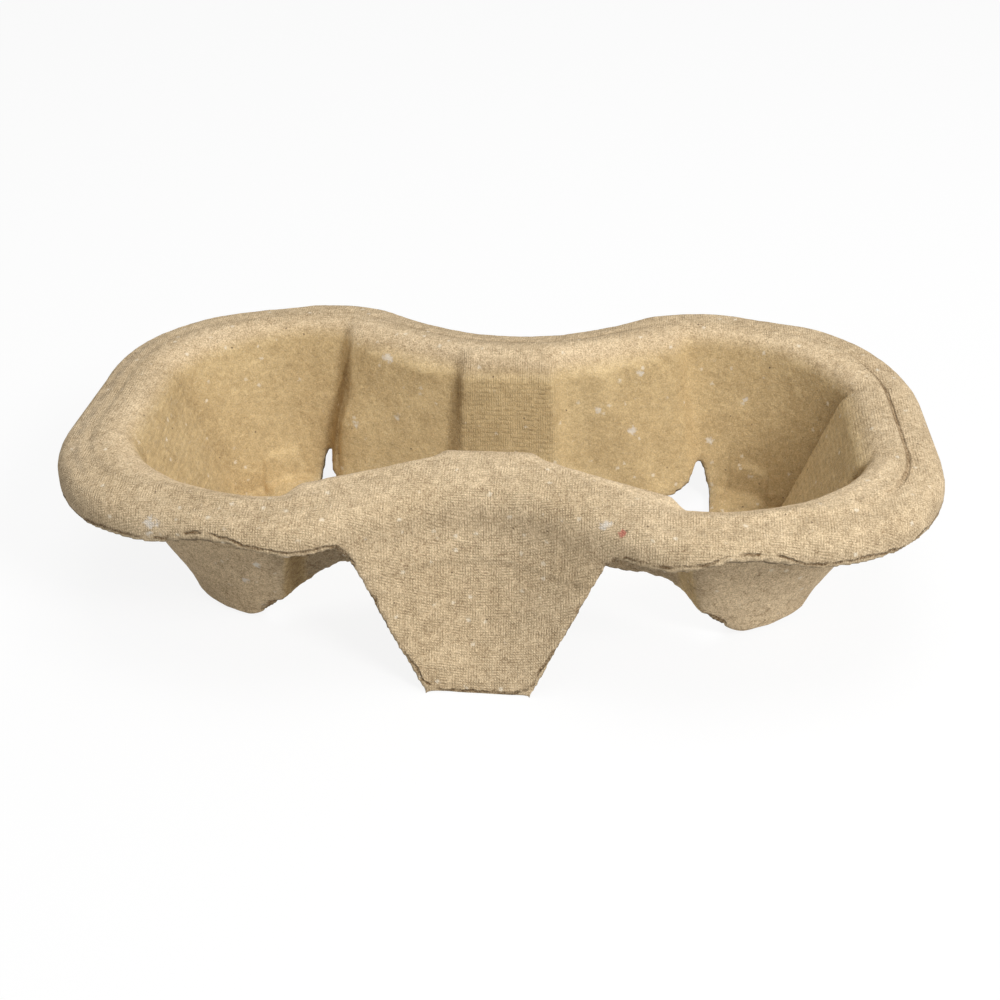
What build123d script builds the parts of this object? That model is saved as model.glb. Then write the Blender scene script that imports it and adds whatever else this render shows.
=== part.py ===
# Two-cup carrier moulded from paper pulp: one thin sheet with a rolled rim,
# two tapered cup wells standing on petal feet and a flared leg on each long side.
# The origin is on the table under the middle, +X runs through both wells, +Z is up.
import os
from math import sqrt

from build123d import *

# Overall size and sheet thickness
length = 215.0
width = 112.0
height = 50.0
wall = 2.0

# Cup wells: a cone about the well centre, cut by a wide flat leaning facet at the end
well_inset = 55.5
well_lean = 1.2
well_mouth = 41.2
well_base = 29.3
facet_reach_mouth = 38.8
facet_reach_base = 23.2
mouth_drop = 2.0
mouth_radius = 4.0
floor_hole = 19.0
foot_round = 3.0
well_x = length / 2 - well_inset
well_base_x = well_x + well_lean
facet_mouth = well_x + facet_reach_mouth
facet_base = well_x + facet_reach_base
mouth_level = height - mouth_drop

# Plan outline: corner points of the bow-tie shape and the radii that round them
end_inset = 14.0
end_radius = 38.0
lobe_inset = 5.0
lobe_bulge = 2.93
lobe_tighten = 7.0
waist_inset = 22.5
waist_tighten = 9.0
end_corner_y = width / 2 - end_inset
lobe_x = well_x - lobe_inset
lobe_corner_y = width / 2 + lobe_bulge
lobe_radius = lobe_x - lobe_tighten
waist_corner_y = width / 2 - waist_inset
waist_radius = lobe_x - waist_tighten

# Rim section: rolled shoulder, crease and raised inner band, with a hump at the waist
shoulder_radius = 5.8
crease_inset = 8.8
band_rise = 1.0
band_edge = 0.6
under_edge = 2.5
hump_rise = 1.4
hump_half = 46.0
skirt_drop = 10.5
skirt_trim = 0.8
scallop_reach = 8.0
scallop_rise = 3.1
scallop_radius = 36.0
skirt_level = height - skirt_drop
scallop_x = well_x + scallop_reach
scallop_level = skirt_level + scallop_rise

# Waist panels between the wells: centre panel, step, slanted panel, step to the cone
step = 3.0
centre_half_mouth = 11.0
centre_half_base = 16.5
centre_y_mouth = 21.2
centre_y_base = 15.4
panel_y_mouth = 24.2
panel_y_base = 17.6
panel_inset_mouth = 8.0
panel_inset_base = 1.0
panel_end_y_mouth = 35.6
panel_end_y_base = 25.0
panel_end_x_mouth = well_x - panel_inset_mouth
panel_end_x_base = well_x - panel_inset_base

# Back slots between panels and petals, and the free lower edges of the panels
slot_reach = 3.0
slot_level = 14.2
slot_tip = 2.8
slot_width = 5.4
slot_rise = 2.5
hem_back = 5.0
hem_back_inset = 3.6
hem_front = 16.5
hem_front_inset = 14.0
hem_rise_reach = 1.0
hem_rise = 8.5
hem_foot = 2.0
hem_foot_reach = 4.0
hem_reach = 36.0
slot_outer = well_x + slot_reach
slot_x = slot_outer - slot_tip
slot_inner = slot_outer - slot_width
hem_back_x = slot_inner - hem_back_inset
hem_front_x = well_x - hem_front_inset
hem_rise_x = well_x + hem_rise_reach
hem_foot_x = hem_rise_x + hem_foot_reach

# Flared legs on the long sides
leg_foot_half = 12.8
leg_top_half = 28.8
leg_top_drop = 5.5
leg_foot_inset = 1.4
leg_foot_slope = 0.1
leg_foot_bend = 90.0
leg_join_rise = 4.0
leg_join_inset = 0.55
arch_radius = 7.0
arch_reach = 9.0
arch_start = 2.2
arch_rise = 1.0
leg_top_level = skirt_level - leg_top_drop
leg_foot_y = width / 2 - leg_foot_inset
leg_join_level = skirt_level + leg_join_rise

# Spare reach of the blocks and cuts past the sheet
spare = 5.0


def mirrored(points):
    """Points of a right half followed by their mirror image, for a closed outline."""
    return points + [(-x, y) for x, y in reversed(points)]


def outline(inset):
    """Plan outline of the carrier, drawn in by inset."""
    upper = [(length / 2, end_corner_y), (lobe_x, lobe_corner_y), (0, waist_corner_y)]
    upper = upper + [(-x, y) for x, y in reversed(upper[:2])]
    with BuildSketch(mode=Mode.PRIVATE) as plan:
        with BuildLine():
            Polyline(*upper, *[(x, -y) for x, y in reversed(upper)], close=True)
        make_face()
        fillet(plan.vertices().filter_by(lambda v: abs(v.X) > length / 2 - 1), end_radius)
        fillet(plan.vertices().filter_by(lambda v: abs(v.Y) > width / 2 + 1), lobe_radius)
        fillet(plan.vertices().filter_by(lambda v: abs(v.X) < 1), waist_radius)
        if inset > 0:
            offset(amount=-inset)
    return plan.sketch


def rim_level(x):
    """Height of the raised band along the length: level over the lobes, higher at the waist."""
    reach = min(abs(x) / hump_half, 1.0)
    share = 1 - 2 * reach**2 if reach < 0.5 else 2 * (1 - reach) ** 2
    return height - hump_rise + hump_rise * share


def crown(inset, drop):
    """Solid block inside the outline, topped by the humped rim line, and its upper edges."""
    low = height - hump_rise - drop
    middle = low + hump_rise / 2
    with BuildPart(mode=Mode.PRIVATE) as block:
        with BuildSketch():
            add(outline(inset))
        extrude(amount=height + 2 * spare)
        with BuildSketch(Plane.XZ):
            with BuildLine():
                rise = TangentArc((-hump_half, low), (-hump_half / 2, middle), tangent=(1, 0))
                top = TangentArc(rise @ 1, (hump_half / 2, middle), tangent=rise % 1)
                fall = TangentArc(top @ 1, (hump_half, low), tangent=top % 1)
                edge = [(length, low), (length, -spare), (-length, -spare), (-length, low)]
                Polyline(fall @ 1, *edge, rise @ 0)
            make_face()
        extrude(amount=width, both=True, mode=Mode.INTERSECT)
        upper = block.edges().filter_by(lambda e: e.bounding_box().min.Z > low - 1)
        end = length / 2 - inset - 1
        seams = upper.filter_by(lambda e: abs(e.center().Y) < 1 and abs(e.center().X) < end)
    return block.part, upper - seams


def flare(level, x, depth):
    """Outward draw of the sheet at a level, growing into the rounding of the mouth."""
    radius = mouth_radius - depth
    climb = (level - rim_level(x) + mouth_radius) / radius
    climb = min(max(climb, 0.0), 1.0)
    return depth + radius * (1 - sqrt(1 - climb**2))


def ring(level, depth):
    """Plan of the two wells and the waist between them at a level."""

    def at(base, mouth):
        return base + (mouth - base) * level / mouth_level

    out = flare(level, well_x, depth)
    centre = at(well_base_x, well_x)
    radius = at(well_base, well_mouth) + out
    facet = at(facet_base, facet_mouth) + out
    diagonal = radius / sqrt(2)
    x1 = at(centre_half_base, centre_half_mouth)
    x2 = x1 + step
    x3 = at(panel_end_x_base, panel_end_x_mouth)
    out1 = flare(level, x1, depth)
    out2 = flare(level, x2, depth)
    out3 = flare(level, x3, depth)
    x4 = x3 + step - 0.5 * out3
    quarter = [
        (x1 - 0.41 * out1, at(centre_y_base, centre_y_mouth) + out1),
        (x2 - 0.56 * out2, at(panel_y_base, panel_y_mouth) + 0.85 * out2),
        (x3 - 0.53 * out3, at(panel_end_y_base, panel_end_y_mouth) + 0.87 * out3),
        (x4, sqrt(radius**2 - (x4 - centre) ** 2)),
    ]
    corner = (facet, sqrt(radius**2 - (facet - centre) ** 2))
    with BuildSketch(Plane.XY.offset(level), mode=Mode.PRIVATE) as plan:
        with BuildLine() as half:
            Polyline((0, quarter[0][1]), *quarter)
            ThreePointArc(quarter[-1], (centre + diagonal, diagonal), corner)
            Line(corner, (facet, 0))
            mirror(about=Plane.XZ)
            mirror(about=Plane.YZ)
        make_face()
    return plan.sketch


def cavity(depth):
    """Hollow of the wells and waist, drawn outward by depth, opening into the rounded mouth."""
    radius = mouth_radius - depth
    climbs = (0.0, 0.65, 1.0)
    rises = (0.5, 1.0)
    levels = [wall - 1.5 * depth]
    levels += [height - hump_rise - mouth_radius + radius * climb for climb in climbs]
    levels += [levels[-1] + hump_rise * rise for rise in rises]
    levels.append(height + spare)
    with BuildPart(mode=Mode.PRIVATE) as hollow:
        loft([ring(level, depth).face() for level in levels], ruled=True)
    return hollow.part


def mould(depth):
    """Full block of the carrier with its surface moved inward by depth."""
    shoulder, shoulder_edges = crown(depth, band_rise + depth)
    band, band_edges = crown(crease_inset + depth, depth)
    if depth == 0:
        shoulder = shoulder.fillet(shoulder_radius, shoulder_edges)
        band = band.chamfer(band_edge, None, band_edges)
    else:
        shoulder = shoulder.chamfer(under_edge, None, shoulder_edges)
    with BuildPart(mode=Mode.PRIVATE) as die:
        add(shoulder)
        add(band)
        add(cavity(depth), mode=Mode.SUBTRACT)
    return die.part


def leg_strip(level, corner_y, slope, bend):
    """Cross-section of a leg's bent sheet at a level."""
    far = leg_top_half + arch_reach + spare
    outer = [(-far, corner_y + slope * far), (0, corner_y), (far, corner_y + slope * far)]
    with BuildSketch(Plane.XY.offset(level), mode=Mode.PRIVATE) as strip:
        with BuildLine():
            Polyline(*outer, *[(x, y - wall) for x, y in reversed(outer)], close=True)
        make_face()
        fillet(strip.vertices().filter_by(lambda v: abs(v.X) < 1), bend)
    return strip.sketch


# Leg: a ruled sheet from the waist outline down to a nearly straight foot, cut to a tapered flap
with BuildPart() as leg:
    waist_slope = (lobe_corner_y - waist_corner_y) / lobe_x
    joined = leg_strip(leg_join_level, waist_corner_y - leg_join_inset, waist_slope, waist_radius)
    standing = leg_strip(0, leg_foot_y, leg_foot_slope, leg_foot_bend)
    loft([joined.face(), standing.face()], ruled=True)
    with BuildSketch(Plane.XZ) as flap:
        with BuildLine():
            side = [(leg_foot_half, 0), (leg_top_half, leg_top_level)]
            side += [(leg_top_half + arch_start, skirt_level)]
            arch_end = leg_top_half + arch_reach
            side += [(arch_end, skirt_level + arch_rise), (arch_end, height)]
            Polyline(*mirrored(side), close=True)
        make_face()
        fillet(flap.vertices().filter_by(lambda v: abs(v.Y - skirt_level) < 0.1), arch_radius)
    extrude(amount=-width, mode=Mode.INTERSECT)

with BuildPart() as carrier:
    add(mould(0))
    add(mould(wall), mode=Mode.SUBTRACT)

    # Trim the skirt to its lower edge, a little higher above the feet
    with BuildPart(mode=Mode.PRIVATE) as scallops:
        with BuildSketch(Plane.XZ):
            Rectangle(2 * length, 2 * skirt_level)
            scallop_centre = scallop_level - scallop_radius
            with Locations((-scallop_x, scallop_centre), (scallop_x, scallop_centre)):
                Circle(scallop_radius)
        extrude(amount=width, both=True)
        with BuildSketch():
            add(outline(wall + skirt_trim))
        extrude(amount=height, both=True, mode=Mode.SUBTRACT)
    add(scallops.part, mode=Mode.SUBTRACT)

    # Open the floors and the underside of the waist, leaving a ledge in each petal
    with Locations((-well_base_x, 0), (well_base_x, 0)):
        Cylinder(floor_hole, 4 * wall, mode=Mode.SUBTRACT)
    with BuildSketch(Plane.XZ):
        with BuildLine():
            back = [(slot_outer, -spare), (slot_outer, 0), (slot_x, slot_level)]
            back += [(slot_inner, hem_back + slot_rise), (hem_back_x, hem_back)]
            Polyline(*mirrored(back), close=True)
        make_face()
    extrude(amount=-hem_reach, mode=Mode.SUBTRACT)
    with BuildSketch(Plane.XZ):
        with BuildLine():
            front = [(hem_foot_x, -spare), (hem_foot_x, hem_foot)]
            front += [(hem_rise_x, hem_rise), (hem_front_x, hem_front)]
            Polyline(*mirrored(front), close=True)
        make_face()
    extrude(amount=hem_reach, mode=Mode.SUBTRACT)

    # Round the feet where they stand
    standing_edges = carrier.edges().filter_by(lambda e: e.bounding_box().max.Z < 0.01)
    petals = standing_edges.filter_by(lambda e: abs(e.center().X) > hem_foot_x + 1)
    hub = Vector(well_base_x, 0)
    reach = floor_hole + 2
    outer = petals.filter_by(lambda e: (Vector(abs(e.center().X), e.center().Y) - hub).length > reach)
    fillet(outer, foot_round)

    # Join the two legs
    add(leg.part)
    add(leg.part.mirror(Plane.XZ))

carrier.part.label = "pulp_carrier"
os.makedirs("parts", exist_ok=True)
export_step(carrier.part, "parts/pulp_carrier.step")
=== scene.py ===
# Two-cup carrier of moulded paper pulp on a plain white table.
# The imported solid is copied, remeshed into an even skin and roughened like real pulp.
import math

import bpy
import numpy as np
from mathutils import Matrix, Vector, noise
from mathutils.bvhtree import BVHTree
from mathutils.kdtree import KDTree


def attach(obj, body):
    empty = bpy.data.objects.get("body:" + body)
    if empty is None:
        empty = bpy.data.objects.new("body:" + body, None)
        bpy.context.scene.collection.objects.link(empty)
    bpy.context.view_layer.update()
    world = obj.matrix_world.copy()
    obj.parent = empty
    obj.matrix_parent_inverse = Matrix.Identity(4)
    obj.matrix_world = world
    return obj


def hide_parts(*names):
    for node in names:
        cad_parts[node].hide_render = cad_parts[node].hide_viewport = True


MM = 0.001

# Skin of the visual sheet: size of its voxels, softening, and the share of faces kept
VOXEL = 0.9 * MM
SMOOTH_SHARE = 0.5
SMOOTH_TURNS = 2
KEPT_SHARE = 0.78

# Torn edges lie where a ray into the sheet runs further than the wall is thick
SHEET_WALL = 2.0 * MM
TORN_DEPTH = (1.5 * SHEET_WALL, 2.3 * SHEET_WALL)
TORN_GAIN = 1.6
TORN_TURNS = 2
RAY_START = 0.2 * MM
RAY_REACH = 50 * MM

# Outer edge of the rim: the level where it is read, its steepest tilt, and the free space beyond it
EDGE_LEVEL = (42.8 * MM, 43.8 * MM)
EDGE_TILT = 0.6
EDGE_START = 1.0 * MM
FREE_REACH = 300 * MM

# Turns and shares of the smoothing where a leg runs into the rim, and along torn edges
LEG_RUN_TORN = (0.08, 0.01)
LEG_RUN_TURNS = 60
LEG_RUN_SPREAD = 6
EDGE_TURNS = 2
EDGE_SHARE = 0.8

# Ways that normals face: into the wells, out of the feet, up from the rim, sideways and down
INWARD_FACING = (-0.3, 0.0)
OUTWARD_FACING = (0.1, 0.45)
TOP_FACING = (0.5, 0.8)
PRINT_FACING = (-0.3, 0.2)
UNDER_FACING = (0.0, -0.6)
SKY_START = 1.0 * MM
SKY_TURNS = 2

# Pressed crease round the rim, and its strength on the far side and at the right end, which also sets the
# painted shade along it
CREASE_INSET = 8.2 * MM
CREASE_HALF = 1.0 * MM
CREASE_DEPTH = 0.8 * MM
CREASE_FAR = 0.3
CREASE_END = 0.7

# Cup wells: middle, and the reach of the flat end facet, at the base and the mouth
WELL_X = (53.2 * MM, 52.0 * MM)
FACET_REACH = (23.2 * MM, 38.8 * MM)
MOUTH_Z = 48 * MM

# How far the left and right facets stand into the wells, and half their width, at base and mouth
FACET_PRESS = {-1: (1.2 * MM, 0.6 * MM), 1: (5.0 * MM, 1.7 * MM)}
FACET_HALF = (19.8 * MM, 14.8 * MM)

# Panels of the waist pressed further towards the middle, with a slanting ridge on the outer ones
PANEL_HALF = 46 * MM
PANEL_DEPTH = 33 * MM
PANEL_PRESS = 0.8 * MM
MIDDLE_HALF = 13 * MM
MIDDLE_PRESS = 0.8 * MM
RIDGE_X = (43 * MM, 20 * MM)
RIDGE_CLEAR = 7 * MM
RIDGE_RISE = 2.0 * MM

# Lobe on the far floor of each well: place, half sizes, rise, and lean towards the middle
LOBE_PLACE = (64 * MM, 26 * MM)
LOBE_SIZE = (6.5 * MM, 5.5 * MM)
LOBE_RISE = 3.0 * MM
LOBE_LEAN = 0.4

# Painted shade in the folds beside the facets and on the risers left of the panels, and the paler panels
FOLD_WIDTH = 4.5 * MM
FOLD_START = -0.4 * MM
FOLD_FROM = 70 * MM
LEFT_FOLD = 0.35
RISER_SLANT = 4.0 * MM
RISER_WIDTH = (3.6 * MM, 1.9 * MM)
RISER_DEPTH = 36 * MM
MIDDLE_SLANT = 0.6 * RISER_SLANT
MIDDLE_WIDTH = 2.2 * MM
MIDDLE_TONE = 0.75
PANEL_PALE = 0.2
PALE_END = 22 * MM

# Slight warp of the real sheet: skew over the width, sag of the ends, feet outwards, legs to the left,
# near corners fuller, far right corner tighter, right front foot and its arch a little higher
WARP_SKEW = 0.36 * MM
SKEW_OVER = 50 * MM
WARP_SAG = 0.43 * MM
SAG_OVER = 100 * MM
WARP_FOOT = 1.1 * MM
WARP_LEG = 0.7 * MM
WARP_SWELL = 1.2 * MM
WARP_NEAR = 1.5 * MM
NEAR_FORWARD = 0.6 * WARP_NEAR
WARP_TIGHT = 1.9 * MM
WARP_LIFT = 1.5 * MM
WARP_ARCH = 3.5 * MM
ARCH_PLACE = 44 * MM
ARCH_WIDTH = 6 * MM
DROP_LEVEL = 41 * MM
FRONT_LEVEL = 30 * MM
BOX_PLAY = 0.8 * MM

# Bounds of the legs, and of their edges, which fray less
LEG_HALF = 37 * MM
LEG_FROM = 36 * MM
LEG_EDGE_HALF = 32 * MM
LEG_EDGE_FROM = 40 * MM
LEG_CALM = 0.7

# Round tips and flare of the feet, shift of the left far slot, hollow of the legs
TIP_PLACE = 57.3 * MM
TIP_RADIUS = 5.5 * MM
TIP_LIFT = 2.4 * MM
TIP_FROM = 38 * MM
FOOT_FLARE = 5.0 * MM
SLOT_PLACE = (-43 * MM, 25 * MM)
SLOT_WIDTH = 8 * MM
SLOT_SHIFT = 3.8 * MM
HOLLOW_DEPTH = 2.2 * MM
HOLLOW_HALF = 14 * MM
HOLLOW_SPREAD = 0.45

# Outer edge brought back out to where it was before the softening
EDGE_GAIN = 0.45 * MM
EDGE_GAIN_FROM = 30 * MM

# Roughness of the pulp: size, height and seed of the lumps and grain, then of the frayed edges
LUMPS = ((14 * MM, 0.18 * MM, 3.0), (4.5 * MM, 0.10 * MM, 7.0), (1.7 * MM, 0.07 * MM, 11.0))
FRAYS = ((5.5 * MM, 0.4 * MM, 21.0), (1.5 * MM, 0.2 * MM, 61.0))
AXIS_SEED = 10

# Print of the mould's wire mesh: pitch, fall of its run on the sides, sharpness, patches and sway
WIRE_PITCH = 0.63 * MM
WIRE_FALL = -0.6
WIRE_POWER = 1.5
WIRE_PATCHES = (1.9 * MM, 2.7 * MM)
SWAY_SIZE = 9 * MM
SWAY_SHARE = 1.2

# Where the print shows: on the rim with its steep edge, on the middle panel and on the end facets
PRINT_SIDE_INSET = 3 * MM
PRINT_SIDE_GAIN = 0.6
MIDDLE_PRINT = 0.8
MIDDLE_PRINT_DEPTH = 26 * MM
FACET_PRINT = 0.7

# Painted shade on undersides and hems, and dust on the left end with a line of it along the crease
UNDER_FROM = 2 * MM
DIM_SHARE = 0.4
DUST_SHARE = 0.15
DUST_LEAN = 0.3
DUST_LINE_SHARE = 0.6
DUST_LINE_INSET = 4.6 * MM
DUST_LINE_HALF = 0.9 * MM

# Where effects fade in or out, from none to full, in millimetres of a height, a place or an inset
FADES = {
    "leg run side": (38, 28),
    "leg run level": (28, 34),
    "leg run inset": (11, 7),
    "well inset": (10.5, 13.5),
    "well level": (48, 43),
    "facet edge": (0.5, -0.6),
    "panel edge": (0, -1),
    "middle edge": (0.6, -0.6),
    "lobe level": (14, 9),
    "tone level": (47, 41),
    "pale edge": (-1, -4),
    "foot level": (42, 38),
    "foot inset": (4, 7),
    "foot side": (22, 28),
    "flare foot": (2, 24),
    "flare top": (42, 30),
    "flare side": (66, 77),
    "top level": (44, 46),
    "crease end": (50, 85),
    "crease near": (-36, -24),
    "crease far": (-30, 0),
    "crease left": (-75, -50),
    "edge gain inset": (4, 2),
    "splay side": (48, 58),
    "near side": (62, 95),
    "near depth": (8, -25),
    "near level": (20, 36),
    "tight side": (72, 100),
    "tight depth": (0, 28),
    "swell foot": (0, 14),
    "swell top": (45, 36),
    "swell side": (5, 20),
    "slot level": (34, 22),
    "hollow foot": (2, 16),
    "hollow top": (44, 36),
    "front depth": (-5, -14),
    "lift side": (38, 48),
    "tip level": (13, 0),
    "tip depth": (5, 14),
    "print inset": (13, 11),
    "print level": (36, 40),
    "middle print side": (15, 12),
    "facet print side": (72, 76),
    "facet print depth": (19, 16),
    "dim foot side": (57, 48),
    "dim waist side": (28, 40),
    "dim level": (38, 26),
    "dim depth": (18, 28),
    "dim inset": (3, 6),
    "dust end": (-96, -104),
    "dust inset": (5, 2.5),
    "dust line end": (-94, -100),
}

# Values kept on every vertex for the material, painted shade among them
MARKS = ("torn", "imprint", "grime", "bowl", "foot", "inset", "crease", "painted_shade", "rind", "under")
INSET_TURNS = 3
RIND_TURNS = 12
MARK_TURNS = 1

# Colours of the pulp, each pair from its darker to its paler places
RIM_TAN = ((0.595, 0.45, 0.277, 1), (0.655, 0.505, 0.322, 1))
# Tan inside the wells, yellower than the rim's: painted bounce light from the wells' own walls
BOWL_BOUNCE_TAN = ((0.575, 0.42, 0.215, 1), (0.64, 0.48, 0.255, 1))
EDGE_TAN = ((0.21, 0.145, 0.08, 1), (0.62, 0.49, 0.31, 1))
FIBRE_PALE = (0.74, 0.61, 0.42, 1)
PRINT_BROWN = (0.27, 0.19, 0.10, 1)
# Painted shade on the undersides of torn edges and on the hems beside the feet
UNDER_SHADE_BROWN = (0.07, 0.05, 0.03, 1)
DUST_GREY = (0.17, 0.145, 0.12, 1)
SPECK_BROWN = (0.15, 0.10, 0.06, 1)
FLECK_CREAM = (0.80, 0.70, 0.54, 1)
FLECK_WHITE = (0.82, 0.76, 0.66, 1)
SPOT_RED = (0.55, 0.12, 0.10, 1)
SPOT_PALE = (0.80, 0.75, 0.68, 1)

# How far each layer of colour covers what is below it
FIBRE_COVER = 0.4
PRINT_COVER = 0.42
EDGE_COVER = 0.8
UNDER_SHADE_COVER = 0.85
DUST_COVER = 0.62
SPOT_COVER = 0.65

# Cloudy patterns of the pulp: size, detail and roughness
PATTERNS = {
    "broad": (24 * MM, 3.0, 0.5),
    "cloud": (6 * MM, 3.0, 0.6),
    "mottle": (1.5 * MM, 3.0, 0.6),
    "grit": (0.4 * MM, 2.0, 0.6),
    "layer": (0.9 * MM, 3.0, 0.6),
    "dirt": (2.2 * MM, 4.0, 0.7),
    "rag": (2.4 * MM, 3.0, 0.5),
    "crack patch": (3.3 * MM, 2.0, 0.5),
    "gap patch": (5 * MM, 2.0, 0.5),
}
RAG_SHARE = 0.14

# Where patterns rise from none to full
RISES = {
    "broad": (0.3, 0.7),
    "fibre": (0.62, 0.74),
    "wire patch": (0.25, 0.62),
    "crack patch": (0.5, 0.62),
    "shaded_crease": (0.75, 0.1),
    "strip": (0.15, 0.2),
    "gap start": (0.09, 0.14),
    "gap end": (0.2, 0.15),
    "gap patch": (0.34, 0.52),
    "layer": (0.42, 0.58),
    "dirt": (0.3, 0.55),
}

# Fibres: thickness, length, and how each set of them is turned about the three axes
FIBRE_THICK = 0.28 * MM
FIBRE_LONG = 2.4 * MM
FIBRE_TURNS = (0.4, 1.5, 2.6)
FIBRE_TILT = (1.0, 0.7, 2.0)

# Cracks: spacing, width, bends in a spacing, swing of a bend in spacings, and full depth in widths
CRACK_SPACING = 5 * MM
CRACK_WIDTH = 0.45 * MM
CRACK_BENDS = 1.4
CRACK_SWING = 0.8
CRACK_CORE = 0.2

# How grit and mottle lighten or darken the pulp: on the rim, and the change inside the wells
GRIT_LIGHT = (1.9, -0.9)
MOTTLE_LIGHT = (0.7, -0.2)

# How the other patterns lighten or darken it, painted shade in the folds, on the risers and in the rim's
# crease among them, its darkest light, and how red, green and blue follow
LIGHT_SHARES = {"cloud": 0.35, "crack": -0.18, "painted_shade": -0.4, "gap": -0.6, "strip": 0.12, "shaded_crease": -0.45}
LEAST_LIGHT = 0.25
WARM_PULL = (0.9, 1.0, 1.1)

# Height of each pattern in the fine relief, in millimetres
RELIEF_SHARES = {
    "cloud": 0.4, "mottle": 0.2, "grit": 0.08, "fibre": 0.05, "print": -0.12,
    "crack": -0.12, "shaded_crease": -0.6, "gap": -0.5, "torn layer": 0.4,
}
ROUGHNESS = 0.92
SPECULAR = 0.2

# Specks and flecks: spacing, radius, share of the cells that have one, cover and colour
SPECKS = (
    (4.6 * MM, 0.24 * MM, 0.5, 1.0, SPECK_BROWN),
    (4.2 * MM, 0.5 * MM, 0.6, 0.8, FLECK_CREAM),
    (16 * MM, 0.95 * MM, 0.5, 0.8, FLECK_WHITE),
)

# How far the outlines of specks and spots bend, and where they fade in, in radii
SPECK_BEND = 2.2
SPECK_EDGE = (1.5, 0.5)
SPOT_BEND = 4
SPOT_EDGE = (1.2, 0.3)

# Single spots in the pulp: place, radius and colour
SPOTS = (
    ((32.4 * MM, -49.8 * MM, 45.8 * MM), 1.0 * MM, SPOT_RED),
    ((28.7 * MM, -47.2 * MM, 46.0 * MM), 1.3 * MM, SPOT_PALE),
    ((-76.2 * MM, -50.9 * MM, 44.5 * MM), 1.5 * MM, SPOT_PALE),
    ((33.9 * MM, 24.3 * MM, 26.4 * MM), 1.4 * MM, SPOT_PALE),
    ((64.3 * MM, 35.1 * MM, 30.4 * MM), 0.9 * MM, SPOT_PALE),
    ((-33.3 * MM, 29.2 * MM, 44.0 * MM), 1.4 * MM, SPOT_PALE),
    ((24.3 * MM, 22.6 * MM, 33.5 * MM), 1.0 * MM, SPOT_PALE),
    ((35.2 * MM, 28.9 * MM, 41.7 * MM), 1.0 * MM, SPOT_PALE),
    ((-61.2 * MM, -34.4 * MM, 15.6 * MM), 0.9 * MM, SPOT_PALE),
)

# Camera of the photograph: angles in degrees, distance from the aim point, pixels at 1000 x 1000
AIM = Vector((0.0, 0.0, 25.0 * MM))
CAMERA_AZIMUTH = 6.153
CAMERA_ELEVATION = 34.304
CAMERA_ROLL = -1.488
CAMERA_DISTANCE = 396.57 * MM
CAMERA_NEAR = 10 * MM
PIXELS_PER_MM = 3.818
PICTURE_SIZE = 1000.0
PICTURE_CENTRE = (501.175, 480.056)
SENSOR = 36.0

# Table and studio: half the floor's width, its tones, its share of plain white, and the light all round
FLOOR_HALF = 4.0
FLOOR_BOUNCE = (0.62, 0.62, 0.62, 1)
FLOOR_MATT = (0.9, 0.9, 0.9, 1)
FLOOR_WHITE = 0.88
WHITE = (1, 1, 1, 1)
ROUND_LIGHT = 0.36


def smoothstep(low, high, value):
    """Smooth rise from 0 at low to 1 at high."""
    share = np.clip((value - low) / (high - low), 0.0, 1.0)
    return share * share * (3 - 2 * share)


def fade(name, value):
    """Named fade of the table, at a value in metres."""
    none, full = FADES[name]
    return smoothstep(none * MM, full * MM, value)


def bell(value, width):
    """Round bump of height 1 at value 0, of about a width to either side."""
    return np.exp(-((value / width) ** 2))


def between(pair, share):
    """Value at a share of the way from the first of a pair to the second."""
    return pair[0] + (pair[1] - pair[0]) * share


def field(places, scale, offset):
    """Noise in -1..1 at the places, with features of about the given size."""
    shift = Vector((offset, 1.7 * offset, -offset))
    return np.array([noise.noise(Vector(p) / scale + shift) for p in places])


def read_points(mesh):
    """Vertex places and normals of a mesh as arrays."""
    count = len(mesh.vertices)
    places = np.empty(count * 3)
    mesh.vertices.foreach_get("co", places)
    normals = np.empty(count * 3)
    mesh.vertex_normals.foreach_get("vector", normals)
    return places.reshape(-1, 3), normals.reshape(-1, 3)


def neighbours(mesh):
    """Both ends of every edge, and how many edges meet at each vertex."""
    ends = np.empty(len(mesh.edges) * 2, dtype=np.int64)
    mesh.edges.foreach_get("vertices", ends)
    first, second = ends.reshape(-1, 2).T
    return first, second, np.bincount(ends, minlength=len(mesh.vertices))


def spread(links, values, turns, weight=1.0):
    """Values of the vertices, drawn towards their neighbours' mean a number of times."""
    first, second, count = links
    size = len(values)
    for _ in range(turns):
        total = np.bincount(first, values[second], size) + np.bincount(second, values[first], size)
        values = values + 0.5 * weight * (total / np.maximum(count, 1) - values)
    return values


def blur_places(links, places, turns, weight):
    """Places of the vertices smoothed where the weight is high."""
    return np.column_stack([spread(links, places[:, axis], turns, weight) for axis in range(3)])


def even_skin(node):
    """New object with the solid's shape as an even skin, its edges softened and its flats thinned out."""
    shape = bpy.data.objects.new("pulp_sheet", node.data.copy())
    bpy.context.scene.collection.objects.link(shape)
    remesh = shape.modifiers.new("even", "REMESH")
    remesh.mode = "VOXEL"
    remesh.voxel_size = VOXEL
    soften = shape.modifiers.new("soften", "SMOOTH")
    soften.factor = SMOOTH_SHARE
    soften.iterations = SMOOTH_TURNS
    thin = shape.modifiers.new("thin", "DECIMATE")
    thin.ratio = KEPT_SHARE
    view = bpy.context.evaluated_depsgraph_get()
    shape_mesh = bpy.data.meshes.new_from_object(shape.evaluated_get(view))
    shape.modifiers.clear()
    shape.data = shape_mesh
    shape.data.materials.clear()
    shape.data.shade_smooth()
    return shape


def sheet_thickness(tree, places, normals):
    """Distance through the sheet behind each vertex, long at a torn edge."""
    depth = np.full(len(places), RAY_REACH)
    for index, (place, normal) in enumerate(zip(places, normals)):
        inward = Vector(-normal)
        hit = tree.ray_cast(Vector(place) + inward * RAY_START, inward, RAY_REACH)
        if hit[3] is not None:
            depth[index] = hit[3]
    return depth


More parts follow.
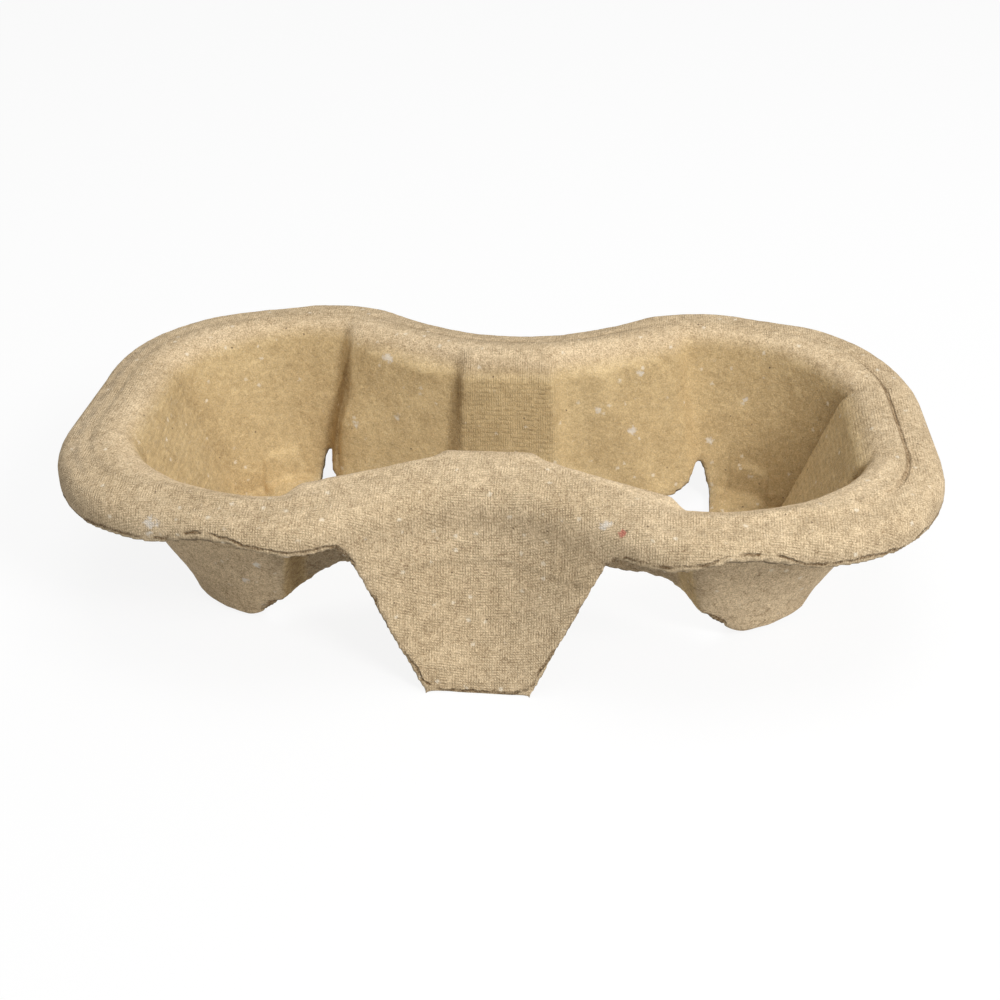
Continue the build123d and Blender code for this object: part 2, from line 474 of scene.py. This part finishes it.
def open_above(tree, places, normals):
    """One where no part of the sheet stands above a vertex, else zero."""
    free = np.empty(len(places))
    for index, (place, normal) in enumerate(zip(places, normals)):
        start = Vector(place) + Vector(normal) * SKY_START
        free[index] = tree.ray_cast(start, Vector((0, 0, 1)), FREE_REACH)[0] is None
    return free


class RimMap:
    """Plan distances from the carrier's outer edge, found on the skin itself."""

    def __init__(self, tree, places, normals):
        level = (places[:, 2] > EDGE_LEVEL[0]) & (places[:, 2] < EDGE_LEVEL[1])
        picked = []
        for index in np.nonzero(level & (np.abs(normals[:, 2]) < EDGE_TILT))[0]:
            away = Vector((normals[index][0], normals[index][1], 0)).normalized()
            if tree.ray_cast(Vector(places[index]) + away * EDGE_START, away, FREE_REACH)[0] is None:
                picked.append(index)
        self.away = normals[picked][:, :2]
        self.finder = KDTree(len(picked))
        for number, (x, y) in enumerate(places[picked][:, :2]):
            self.finder.insert((x, y, 0), number)
        self.finder.balance()

    def inset(self, places):
        """Distance inside the outer edge in plan, negative outside it."""
        result = np.empty(len(places))
        for index, (x, y) in enumerate(places[:, :2]):
            spot, number, reach = self.finder.find((x, y, 0))
            beyond = (x - spot.x) * self.away[number][0] + (y - spot.y) * self.away[number][1]
            result[index] = -reach if beyond > 0 else reach
        return result


class Skin:
    """The sheet's skin before any change, as arrays, with its torn edges and its inset from the rim."""

    def __init__(self, mesh):
        self.places, self.normals = read_points(mesh)
        self.links = neighbours(mesh)
        faces = [face.vertices[:] for face in mesh.polygons]
        self.tree = BVHTree.FromPolygons([Vector(place) for place in self.places], faces)
        self.x, self.y, self.z = self.places.T
        self.side = np.abs(self.x)
        self.depth = np.abs(self.y)
        self.upward = self.normals[:, 2]
        torn = smoothstep(*TORN_DEPTH, sheet_thickness(self.tree, self.places, self.normals))
        self.torn = np.clip(TORN_GAIN * spread(self.links, torn, TORN_TURNS), 0, 1)
        self.inset = RimMap(self.tree, self.places, self.normals).inset(self.places)
        self.top = smoothstep(*TOP_FACING, self.upward) * fade("top level", self.z)

    def box(self):
        """Lowest and highest places that the finished sheet may reach."""
        play = np.array((BOX_PLAY, BOX_PLAY, 0))
        return self.places.min(0) - play, self.places.max(0) + play


def smooth_runs(skin):
    """Places with each leg run up into the rim without a ridge, and with evened torn edges."""
    run = fade("leg run side", skin.side) * fade("leg run level", skin.z)
    run *= fade("leg run inset", skin.inset)
    run *= smoothstep(*LEG_RUN_TORN, spread(skin.links, skin.torn, LEG_RUN_TURNS))
    run = spread(skin.links, run, LEG_RUN_SPREAD)
    places = blur_places(skin.links, skin.places, LEG_RUN_TURNS, run)
    return blur_places(skin.links, places, EDGE_TURNS, EDGE_SHARE * skin.torn)


def inside_wells(skin, places):
    """How far each vertex belongs to the insides of the wells and the panels between them, 0 to 1."""
    reach = np.maximum(np.hypot(skin.x, skin.y), MM)
    inward = -(skin.normals[:, 0] * skin.x + skin.normals[:, 1] * skin.y) / reach
    sky = spread(skin.links, open_above(skin.tree, places, skin.normals), SKY_TURNS)
    inside = np.maximum(smoothstep(*INWARD_FACING, inward), sky)
    return inside * fade("well inset", skin.inset) * (1 - skin.torn) * fade("well level", skin.z)


def outside_feet(skin):
    """How far each vertex belongs to the outsides of the feet, 0 to 1."""
    from_well = np.column_stack([skin.x - np.sign(skin.x) * WELL_X[0], skin.y])
    outward = (skin.normals[:, :2] * from_well).sum(1) / np.maximum(np.hypot(*from_well.T), MM)
    foot = smoothstep(*OUTWARD_FACING, outward) * fade("foot level", skin.z)
    return foot * fade("foot inset", skin.inset) * fade("foot side", skin.side)


def shape_wells(places, bowl):
    """Well insides with stepped end facets, ridged panels and a lobe on each far floor."""
    x, y, z = places.T.copy()
    share = np.clip(z / MOUTH_Z, 0, 1)
    side = np.abs(x)
    lower = fade("well level", z)
    flat = fade("facet edge", np.abs(y) - between(FACET_HALF, share)) * bowl * lower
    for sign, press in FACET_PRESS.items():
        wall = between(WELL_X, share) + between(FACET_REACH, share) - between(press, share)
        x = x - sign * np.maximum(side - wall, 0) * (np.sign(x) == sign) * flat

    ridge = np.minimum(between(RIDGE_X, share), PANEL_HALF - RIDGE_CLEAR)
    tent = np.minimum(
        (side - MIDDLE_HALF) / (ridge - MIDDLE_HALF), (PANEL_HALF - side) / (PANEL_HALF - ridge))
    press = RIDGE_RISE * np.clip(tent, 0, 1) + PANEL_PRESS * fade("panel edge", side - PANEL_HALF)
    press += MIDDLE_PRESS * fade("middle edge", side - MIDDLE_HALF)
    y = y - np.sign(y) * press * (np.abs(y) < PANEL_DEPTH) * bowl * lower

    far = ((side - LOBE_PLACE[0]) / LOBE_SIZE[0]) ** 2 + ((y - LOBE_PLACE[1]) / LOBE_SIZE[1]) ** 2
    dome = np.sqrt(np.clip(1 - far, 0, 1)) * fade("lobe level", z) * bowl
    return np.column_stack([x, y - LOBE_LEAN * LOBE_RISE * dome, z + LOBE_RISE * dome])


def crease_strength(skin):
    """How clearly the pressed crease shows along the top of the rim, in depth and in painted shade, 0 to
    1.
    """
    end = fade("crease end", skin.x) * fade("crease near", skin.y)
    far = fade("crease far", skin.y) * fade("crease left", skin.x)
    return skin.top * (CREASE_FAR * far + CREASE_END * end)


def press_rim(skin, places, crease):
    """Places with the crease pressed in, and the outer edge brought back out."""
    groove = CREASE_DEPTH * bell(skin.inset - CREASE_INSET, CREASE_HALF) * crease
    gain = EDGE_GAIN * fade("edge gain inset", skin.inset) * (skin.z > EDGE_GAIN_FROM)
    return places + skin.normals * (gain - groove)[:, None]


def roughen(skin, places):
    """Places with lumps and grain all over, and fraying along the torn edges."""
    height = sum(rise * field(places, size, seed) for size, rise, seed in LUMPS)
    calm = 1 - LEG_CALM * ((skin.side < LEG_EDGE_HALF) & (skin.depth > LEG_EDGE_FROM))
    fray = np.zeros_like(places)
    for size, rise, seed in FRAYS:
        for axis in range(3):
            fray[:, axis] += rise * field(places, size, seed + AXIS_SEED * axis)
    return places + skin.normals * height[:, None] + (skin.torn * calm)[:, None] * fray


def warp(places):
    """Places moved by the slight warp that the photograph shows."""
    x, y, z = places.T
    side = np.abs(x)
    depth = np.abs(y)
    leg = (side < LEG_HALF) & (depth > LEG_FROM)
    drop = np.clip(1 - z / DROP_LEVEL, 0, 1)
    splay = fade("splay side", side) * drop
    near = fade("near side", side) * fade("near depth", y) * fade("near level", z)
    tight = fade("tight side", x) * fade("tight depth", y)
    swell = fade("swell foot", z) * fade("swell top", z) * fade("swell side", -x)
    slot = bell(np.hypot(x - SLOT_PLACE[0], y - SLOT_PLACE[1]), SLOT_WIDTH) * fade("slot level", z)
    move_x = WARP_SKEW * y / SKEW_OVER + np.sign(x) * (WARP_FOOT * splay + WARP_NEAR * near)
    move_x -= WARP_TIGHT * tight + leg * (WARP_LEG * drop + WARP_SWELL * swell) + SLOT_SHIFT * slot

    hollow = leg * fade("hollow foot", z) * fade("hollow top", z)
    hollow *= np.clip(1 - (side / (HOLLOW_HALF + HOLLOW_SPREAD * z)) ** 2, 0, 1)
    move_y = -NEAR_FORWARD * near - np.sign(y) * HOLLOW_DEPTH * hollow

    front = fade("front depth", y) * np.clip(1 - z / FRONT_LEVEL, 0, 1) * ~leg
    arch = bell(x - ARCH_PLACE, ARCH_WIDTH)
    corner = np.clip(1 - np.abs(side - TIP_PLACE) / TIP_RADIUS, 0, 1)
    low_end = fade("tip level", z) * fade("tip depth", depth) * (side > TIP_FROM) * ~leg
    move_z = front * (WARP_LIFT * fade("lift side", x) + WARP_ARCH * arch)
    move_z += TIP_LIFT * corner ** 2 * low_end - WARP_SAG * (x / SAG_OVER) ** 2
    return places + np.column_stack([move_x, move_y, move_z])


def print_mark(skin):
    """Where the wire mesh of the mould has left its print."""
    steep = PRINT_SIDE_GAIN * (skin.inset < PRINT_SIDE_INSET)
    outer = fade("print inset", skin.inset) * smoothstep(*PRINT_FACING, skin.upward + steep)
    outer *= fade("print level", skin.z) + (skin.inset < 0)
    middle = fade("middle print side", skin.side) * (skin.depth < MIDDLE_PRINT_DEPTH)
    facet = fade("facet print side", skin.side) * fade("facet print depth", skin.depth) * (skin.upward > 0)
    return np.clip(outer + MIDDLE_PRINT * middle + FACET_PRINT * facet, 0, 1) * (1 - skin.torn)


def painted_shade_mark(skin):
    """Painted shade: how deep a place lies in the folds beside the facets and the panels, below 0 on the
    paler panels.
    """
    share = np.clip(skin.z / MOUTH_Z, 0, 1)
    beyond = skin.depth - between(FACET_HALF, share)
    shaded_crease = bell(np.maximum(beyond, 0), FOLD_WIDTH) * (beyond > FOLD_START) * (skin.side > FOLD_FROM)
    shaded_crease *= np.where(skin.x > 0, 1.0, LEFT_FOLD)
    outer = skin.x + PANEL_HALF + RISER_SLANT * (1 - share)
    middle = skin.x + MIDDLE_HALF + MIDDLE_SLANT * (1 - share)
    riser = bell(outer, np.where(outer < 0, *RISER_WIDTH)) + MIDDLE_TONE * bell(middle, MIDDLE_WIDTH)
    panel = PANEL_PALE * fade("pale edge", skin.side - PANEL_HALF) * (skin.x < PALE_END)
    deep = np.clip(shaded_crease + riser * (skin.depth < RISER_DEPTH), 0, 1)
    return (deep - panel) * fade("tone level", skin.z)


def under_mark(skin, bowl):
    """Painted shade on the undersides of the torn edges and on the hems beside the feet."""
    under = skin.torn * smoothstep(*UNDER_FACING, skin.upward) * (skin.z > UNDER_FROM)
    dim = fade("dim foot side", skin.side) * fade("dim waist side", skin.side) * fade("dim level", skin.z)
    dim *= fade("dim depth", skin.depth) * fade("dim inset", skin.inset)
    return np.clip(under + DIM_SHARE * dim * (1 - bowl), 0, 1)


def dust_mark(skin):
    """Grey dust on the left end of the rim, and in a line along the crease there."""
    end = fade("dust end", skin.x + DUST_LEAN * skin.y) * fade("dust inset", skin.inset)
    line = bell(skin.inset - DUST_LINE_INSET, DUST_LINE_HALF) * fade("dust line end", skin.x) * skin.top
    return np.clip(DUST_SHARE * end + DUST_LINE_SHARE * line, 0, 1)


def pulp_sheet(node):
    """The carrier as one pulp sheet with lumps, grain, a pressed crease and torn edges."""
    sheet = even_skin(node)
    mesh = sheet.data
    skin = Skin(mesh)
    places = smooth_runs(skin)
    bowl = inside_wells(skin, places)
    foot = outside_feet(skin)
    crease = crease_strength(skin)
    places = shape_wells(places, bowl)
    flare = foot * fade("flare foot", skin.z) * fade("flare top", skin.z) * fade("flare side", skin.side)
    places[:, 0] += np.sign(skin.x) * FOOT_FLARE * flare
    places = warp(roughen(skin, press_rim(skin, places, crease)))
    mesh.vertices.foreach_set("co", np.clip(places, *skin.box()).ravel())
    mesh.update()

    inset = spread(skin.links, skin.inset / MM, INSET_TURNS)
    # painted shade of the folds and risers, inside the wells only
    painted_shade = painted_shade_mark(skin) * bowl
    rind = spread(skin.links, skin.torn, RIND_TURNS) * (1 - bowl)
    values = (skin.torn, print_mark(skin), dust_mark(skin), bowl, foot, inset, crease, painted_shade, rind)
    for name, value in zip(MARKS, values + (under_mark(skin, bowl),)):
        mark = mesh.attributes.new(name, "FLOAT", "POINT")
        mark.data.foreach_set("value", spread(skin.links, value, MARK_TURNS).astype(np.float32))
    return sheet


class Nodes:
    """Short calls for building one node tree."""

    def __init__(self, owner):
        owner.use_nodes = True
        self.tree = owner.node_tree
        self.tree.nodes.clear()

    def add(self, kind, inputs=(), **settings):
        """New node with its settings, and with values or links on its inputs."""
        node = self.tree.nodes.new(kind)
        for name, value in settings.items():
            setattr(node, name, value)
        for key, value in dict(inputs).items():
            self.put(node.inputs[key], value)
        return node

    def put(self, socket, value):
        """Link an output to the socket, or set the socket's own value."""
        if isinstance(value, bpy.types.NodeSocket):
            self.tree.links.new(value, socket)
        else:
            socket.default_value = value

    def math(self, operation, a, b=0.0, c=0.0, clamp=False):
        """Result of a Math node."""
        node = self.add("ShaderNodeMath", {0: a, 1: b, 2: c}, operation=operation, use_clamp=clamp)
        return node.outputs[0]

    def product(self, first, *others):
        """All the values multiplied together."""
        for other in others:
            first = self.math("MULTIPLY", first, other)
        return first

    def total(self, base, parts, shares):
        """Base plus each named part times its share."""
        for name, share in shares.items():
            base = self.math("MULTIPLY_ADD", parts[name], share, base)
        return base

    def centred(self, value):
        """Value of 0 to 1 moved to lie about 0."""
        return self.math("SUBTRACT", value, 0.5)

    def rise(self, value, low, high):
        """Smooth rise from 0 at low to 1 at high."""
        inputs = {"Value": value, "From Min": low, "From Max": high}
        return self.add("ShaderNodeMapRange", inputs, interpolation_type="SMOOTHSTEP").outputs[0]

    def ramp(self, name, value):
        """Named rise of the table."""
        return self.rise(value, *RISES[name])

    def mix(self, share, a, b):
        """First colour covered by a share of the second."""
        return self.add("ShaderNodeMix", {0: share, 6: a, 7: b}, data_type="RGBA").outputs[2]

    def cover(self, colour, mask, strength, layer):
        """Colour covered by a layer where the mask is, up to a strength."""
        return self.mix(self.math("MULTIPLY", mask, strength), colour, layer)

    def gain(self, colour, amount):
        """Colour made brighter or darker by a factor, the darks a little warmer."""
        change = self.math("SUBTRACT", amount, 1.0)
        parts = {axis: self.math("MULTIPLY_ADD", change, pull, 1.0) for axis, pull in enumerate(WARM_PULL)}
        factor = self.add("ShaderNodeCombineXYZ", parts).outputs[0]
        return self.add("ShaderNodeVectorMath", {0: colour, 1: factor}, operation="MULTIPLY").outputs[0]

    def noise(self, where, size, detail=2.0, roughness=0.5):
        """Cloudy noise with features of about a size."""
        inputs = {"Vector": where, "Scale": 1 / size, "Detail": detail, "Roughness": roughness}
        return self.add("ShaderNodeTexNoise", inputs).outputs["Fac"]

    def specks(self, where, spacing, radius, share):
        """Spots of about a radius, in a share of the cells that are a spacing apart."""
        rough = self.add("ShaderNodeTexNoise", {"Vector": where, "Scale": 1 / radius, "Detail": 1.0})
        bent = self.add("ShaderNodeVectorMath", {0: rough.outputs["Color"], 1: (-0.5, -0.5, -0.5)})
        bent = {0: bent.outputs[0], 3: SPECK_BEND * radius}
        bent = self.add("ShaderNodeVectorMath", bent, operation="SCALE")
        bent = self.add("ShaderNodeVectorMath", {0: where, 1: bent.outputs[0]})
        cells = self.add("ShaderNodeTexVoronoi", {"Vector": bent.outputs[0], "Scale": 1 / spacing})
        spot = self.rise(cells.outputs["Distance"], *(edge * radius / spacing for edge in SPECK_EDGE))
        chance = self.add("ShaderNodeSeparateColor", {0: cells.outputs["Color"]}).outputs[0]
        return self.math("MULTIPLY", spot, self.math("LESS_THAN", chance, share))

    def fibres(self, where):
        """Short pale fibres lying in several directions."""
        total = 0.0
        for turn in FIBRE_TURNS:
            inputs = {"Vector": where, "Rotation": tuple(tilt * turn for tilt in FIBRE_TILT)}
            inputs["Scale"] = (1 / FIBRE_THICK, 1 / FIBRE_LONG, 1 / FIBRE_THICK)
            laid = self.add("ShaderNodeMapping", inputs).outputs[0]
            strand = self.add("ShaderNodeTexNoise", {"Vector": laid, "Scale": 1.0, "Detail": 1.0})
            total = self.math("ADD", self.ramp("fibre", strand.outputs["Fac"]), total, clamp=True)
        return total

    def weave(self, where, pitch):
        """Broken lines of a wire mesh: along X, and along a run over the rim and down its sides."""
        split = self.add("ShaderNodeSeparateXYZ", {0: where}).outputs
        run = self.math("MULTIPLY_ADD", split[2], WIRE_FALL, self.math("ABSOLUTE", split[1]))
        sway = self.noise(where, SWAY_SIZE)
        lines = []
        for place, patch in zip((split[0], run), WIRE_PATCHES):
            swayed = self.math("MULTIPLY_ADD", sway, SWAY_SHARE * pitch, place)
            wave = self.math("COSINE", self.math("MULTIPLY", swayed, 2 * math.pi / pitch))
            line = self.math("POWER", self.math("MULTIPLY_ADD", wave, 0.5, 0.5), WIRE_POWER)
            lines.append(self.product(line, self.ramp("wire patch", self.noise(where, patch))))
        return self.math("MAXIMUM", *lines)

    def cracks(self, where, spacing, width):
        """Fine wandering cracks, about a spacing apart."""
        inputs = {"Vector": where, "Scale": CRACK_BENDS / spacing, "Detail": 3.0}
        bend = self.add("ShaderNodeTexNoise", inputs)
        bent = {0: bend.outputs["Color"], 3: CRACK_SWING * spacing}
        bent = self.add("ShaderNodeVectorMath", bent, operation="SCALE")
        bent = self.add("ShaderNodeVectorMath", {0: where, 1: bent.outputs[0]})
        inputs = {"Vector": bent.outputs[0], "Scale": 1 / spacing}
        cells = self.add("ShaderNodeTexVoronoi", inputs, feature="DISTANCE_TO_EDGE")
        return self.rise(cells.outputs["Distance"], width / spacing, CRACK_CORE * width / spacing)

    def direct_view(self):
        """One where a ray comes from the camera, a reflection or through glass, else zero."""
        path = self.add("ShaderNodeLightPath").outputs
        seen = self.math("ADD", path["Is Camera Ray"], path["Is Glossy Ray"], clamp=True)
        return self.math("ADD", seen, path["Is Transmission Ray"], clamp=True)


def pulp_parts(n, where):
    """Marks of the vertices and patterns of the pulp, by name."""
    parts = {name: n.add("ShaderNodeAttribute", attribute_name=name).outputs["Fac"] for name in MARKS}
    parts |= {name: n.noise(where, *settings) for name, settings in PATTERNS.items()}
    parts["fibre"] = n.fibres(where)
    parts["print"] = n.product(n.weave(where, WIRE_PITCH), parts["imprint"])
    patch = n.ramp("crack patch", parts["crack patch"])
    parts["crack"] = n.product(n.cracks(where, CRACK_SPACING, CRACK_WIDTH), parts["foot"], patch)

    # Crease line of the rim with painted shade along it, and the strip and the dark gap along torn edges
    off_line = n.math("ABSOLUTE", n.math("SUBTRACT", parts["inset"], CREASE_INSET / MM))
    parts["shaded_crease"] = n.product(n.ramp("shaded_crease", off_line), parts["crease"])
    ragged = n.math("MULTIPLY_ADD", n.centred(parts["rag"]), RAG_SHARE, parts["rind"])
    parts["strip"] = n.ramp("strip", ragged)
    line = n.product(n.ramp("gap start", ragged), n.ramp("gap end", ragged))
    parts["gap"] = n.product(line, n.ramp("gap patch", parts["gap patch"]))
    parts["layer"] = n.ramp("layer", parts["layer"])
    parts["torn layer"] = n.product(parts["torn"], parts["layer"])
    return parts


def pulp_light(n, parts):
    """Factor by which the pulp is lighter or darker than its plain tan, with painted shade in the folds,
    on the risers and in the rim's crease.
    """
    light = 1.0
    for name, (rim, change) in (("grit", GRIT_LIGHT), ("mottle", MOTTLE_LIGHT)):
        strength = n.math("MULTIPLY_ADD", parts["bowl"], change, rim)
        light = n.math("MULTIPLY_ADD", n.centred(parts[name]), strength, light)
    light = n.total(light, parts | {"cloud": n.centred(parts["cloud"])}, LIGHT_SHARES)
    return n.math("MAXIMUM", light, LEAST_LIGHT)


def pulp_colour(n, where, parts):
    """Tan of the pulp, yellower in the wells as painted bounce light, with its fibres, print, painted
    shade, torn edges, dust, specks and spots.
    """
    broad = n.ramp("broad", parts["broad"])
    # the yellower tan inside the wells is painted bounce light
    tan = n.mix(parts["bowl"], n.mix(broad, *RIM_TAN), n.mix(broad, *BOWL_BOUNCE_TAN))
    tan = n.cover(tan, parts["fibre"], FIBRE_COVER, FIBRE_PALE)
    tan = n.cover(tan, parts["print"], PRINT_COVER, PRINT_BROWN)
    tan = n.gain(tan, pulp_light(n, parts))
    tan = n.cover(tan, parts["torn"], EDGE_COVER, n.mix(parts["layer"], *EDGE_TAN))
    # painted shade under the torn edges and on the hems beside the feet
    tan = n.cover(tan, parts["under"], UNDER_SHADE_COVER, UNDER_SHADE_BROWN)
    dirt = n.product(parts["grime"], n.ramp("dirt", parts["dirt"]))
    tan = n.cover(tan, dirt, DUST_COVER, DUST_GREY)
    for spacing, radius, share, strength, colour in SPECKS:
        tan = n.cover(tan, n.specks(where, spacing, radius, share), strength, colour)
    for place, radius, colour in SPOTS:
        away = n.add("ShaderNodeVectorMath", {0: where, 1: place}, operation="DISTANCE").outputs["Value"]
        away = n.math("MULTIPLY_ADD", n.centred(parts["mottle"]), SPOT_BEND * radius, away)
        spot = n.rise(away, *(edge * radius for edge in SPOT_EDGE))
        tan = n.cover(tan, spot, SPOT_COVER, colour)
    return tan


def pulp_material():
    """Tan kraft pulp: gritty mottled fibres, pale flecks, dark specks and the print of a wire mesh."""
    material = bpy.data.materials.new("kraft_pulp")
    n = Nodes(material)
    where = n.add("ShaderNodeTexCoord").outputs["Object"]
    parts = pulp_parts(n, where)
    shader = n.add("ShaderNodeBsdfPrincipled", {"Base Color": pulp_colour(n, where, parts)})
    n.put(shader.inputs["Roughness"], ROUGHNESS)
    n.put(shader.inputs["Specular IOR Level"], SPECULAR)
    relief = n.total(0.0, parts, RELIEF_SHARES)
    bump = n.add("ShaderNodeBump", {"Height": relief, "Strength": 1.0, "Distance": MM})
    n.put(shader.inputs["Normal"], bump.outputs[0])
    out = n.add("ShaderNodeOutputMaterial")
    n.put(out.inputs["Surface"], shader.outputs[0])
    return material


def white_table():
    """Material white to the camera and in reflections, with part of its shade; pale to other light."""
    material = bpy.data.materials.new("white_table")
    n = Nodes(material)
    pale = n.add("ShaderNodeBsdfDiffuse", {"Color": FLOOR_BOUNCE})
    matt = n.add("ShaderNodeBsdfDiffuse", {"Color": FLOOR_MATT})
    glow = n.add("ShaderNodeEmission", {"Color": WHITE, "Strength": 1.0})
    shown = n.add("ShaderNodeMixShader", {0: FLOOR_WHITE, 1: matt.outputs[0], 2: glow.outputs[0]})
    both = n.add("ShaderNodeMixShader", {0: n.direct_view(), 1: pale.outputs[0], 2: shown.outputs[0]})
    out = n.add("ShaderNodeOutputMaterial")
    n.put(out.inputs["Surface"], both.outputs[0])
    return material


def white_floor():
    """Plain pale floor, far wider than the view."""
    mesh = bpy.data.meshes.new("floor")
    corners = [(x * FLOOR_HALF, y * FLOOR_HALF, 0) for x, y in ((-1, -1), (1, -1), (1, 1), (-1, 1))]
    mesh.from_pydata(corners, [], [(0, 1, 2, 3)])
    floor = bpy.data.objects.new("floor", mesh)
    bpy.context.scene.collection.objects.link(floor)
    mesh.materials.append(white_table())


def white_world(strength):
    """Even light from all round, white where the camera sees it."""
    world = bpy.data.worlds.new("studio")
    bpy.context.scene.world = world
    n = Nodes(world)
    level = n.math("MULTIPLY_ADD", n.direct_view(), 1 - strength, strength)
    back = n.add("ShaderNodeBackground", {"Color": WHITE, "Strength": level})
    out = n.add("ShaderNodeOutputWorld")
    n.put(out.inputs["Surface"], back.outputs[0])


def softbox(name, place, size, power):
    """Square area lamp aimed at the carrier."""
    lamp = bpy.data.lights.new(name, "AREA")
    lamp.size = size
    lamp.energy = power
    holder = bpy.data.objects.new(name, lamp)
    bpy.context.scene.collection.objects.link(holder)
    holder.location = place
    holder.rotation_euler = (AIM - Vector(place)).to_track_quat("-Z", "Y").to_euler()


def photo_camera():
    """Camera that sees the carrier as the photograph does."""
    azimuth = math.radians(CAMERA_AZIMUTH)
    elevation = math.radians(CAMERA_ELEVATION)
    roll = math.radians(CAMERA_ROLL)
    flat = math.cos(elevation)
    back = Vector((math.sin(azimuth) * flat, -math.cos(azimuth) * flat, math.sin(elevation)))
    level = Vector((math.cos(azimuth), math.sin(azimuth), 0))
    upright = back.cross(level)
    right = level * math.cos(roll) + upright * math.sin(roll)
    up = upright * math.cos(roll) - level * math.sin(roll)
    lens = bpy.data.cameras.new("photo_camera")
    lens.sensor_width = SENSOR
    lens.lens = SENSOR * PIXELS_PER_MM / MM * CAMERA_DISTANCE / PICTURE_SIZE
    lens.shift_x = 0.5 - PICTURE_CENTRE[0] / PICTURE_SIZE
    lens.shift_y = PICTURE_CENTRE[1] / PICTURE_SIZE - 0.5
    lens.clip_start = CAMERA_NEAR
    camera = bpy.data.objects.new("photo_camera", lens)
    turn = Matrix((right, up, back)).transposed().to_4x4()
    camera.matrix_world = Matrix.Translation(AIM + back * CAMERA_DISTANCE) @ turn
    bpy.context.scene.collection.objects.link(camera)
    bpy.context.scene.camera = camera


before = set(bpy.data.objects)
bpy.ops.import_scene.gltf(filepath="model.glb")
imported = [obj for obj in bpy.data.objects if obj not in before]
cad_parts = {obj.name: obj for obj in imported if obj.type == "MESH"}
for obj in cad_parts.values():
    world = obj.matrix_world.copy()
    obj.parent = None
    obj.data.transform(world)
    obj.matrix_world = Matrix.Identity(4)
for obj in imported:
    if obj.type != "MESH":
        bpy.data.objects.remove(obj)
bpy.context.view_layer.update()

carrier = pulp_sheet(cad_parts["pulp_carrier"])
carrier.data.materials.append(pulp_material())
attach(carrier, "root")
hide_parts("pulp_carrier")

white_floor()
white_world(ROUND_LIGHT)
softbox("key", place=(0.50, -0.46, 0.60), size=0.24, power=5.2)
softbox("top", place=(0.08, 0.05, 0.92), size=0.50, power=3.1)
photo_camera()
bpy.context.scene.view_settings.view_transform = "Standard"
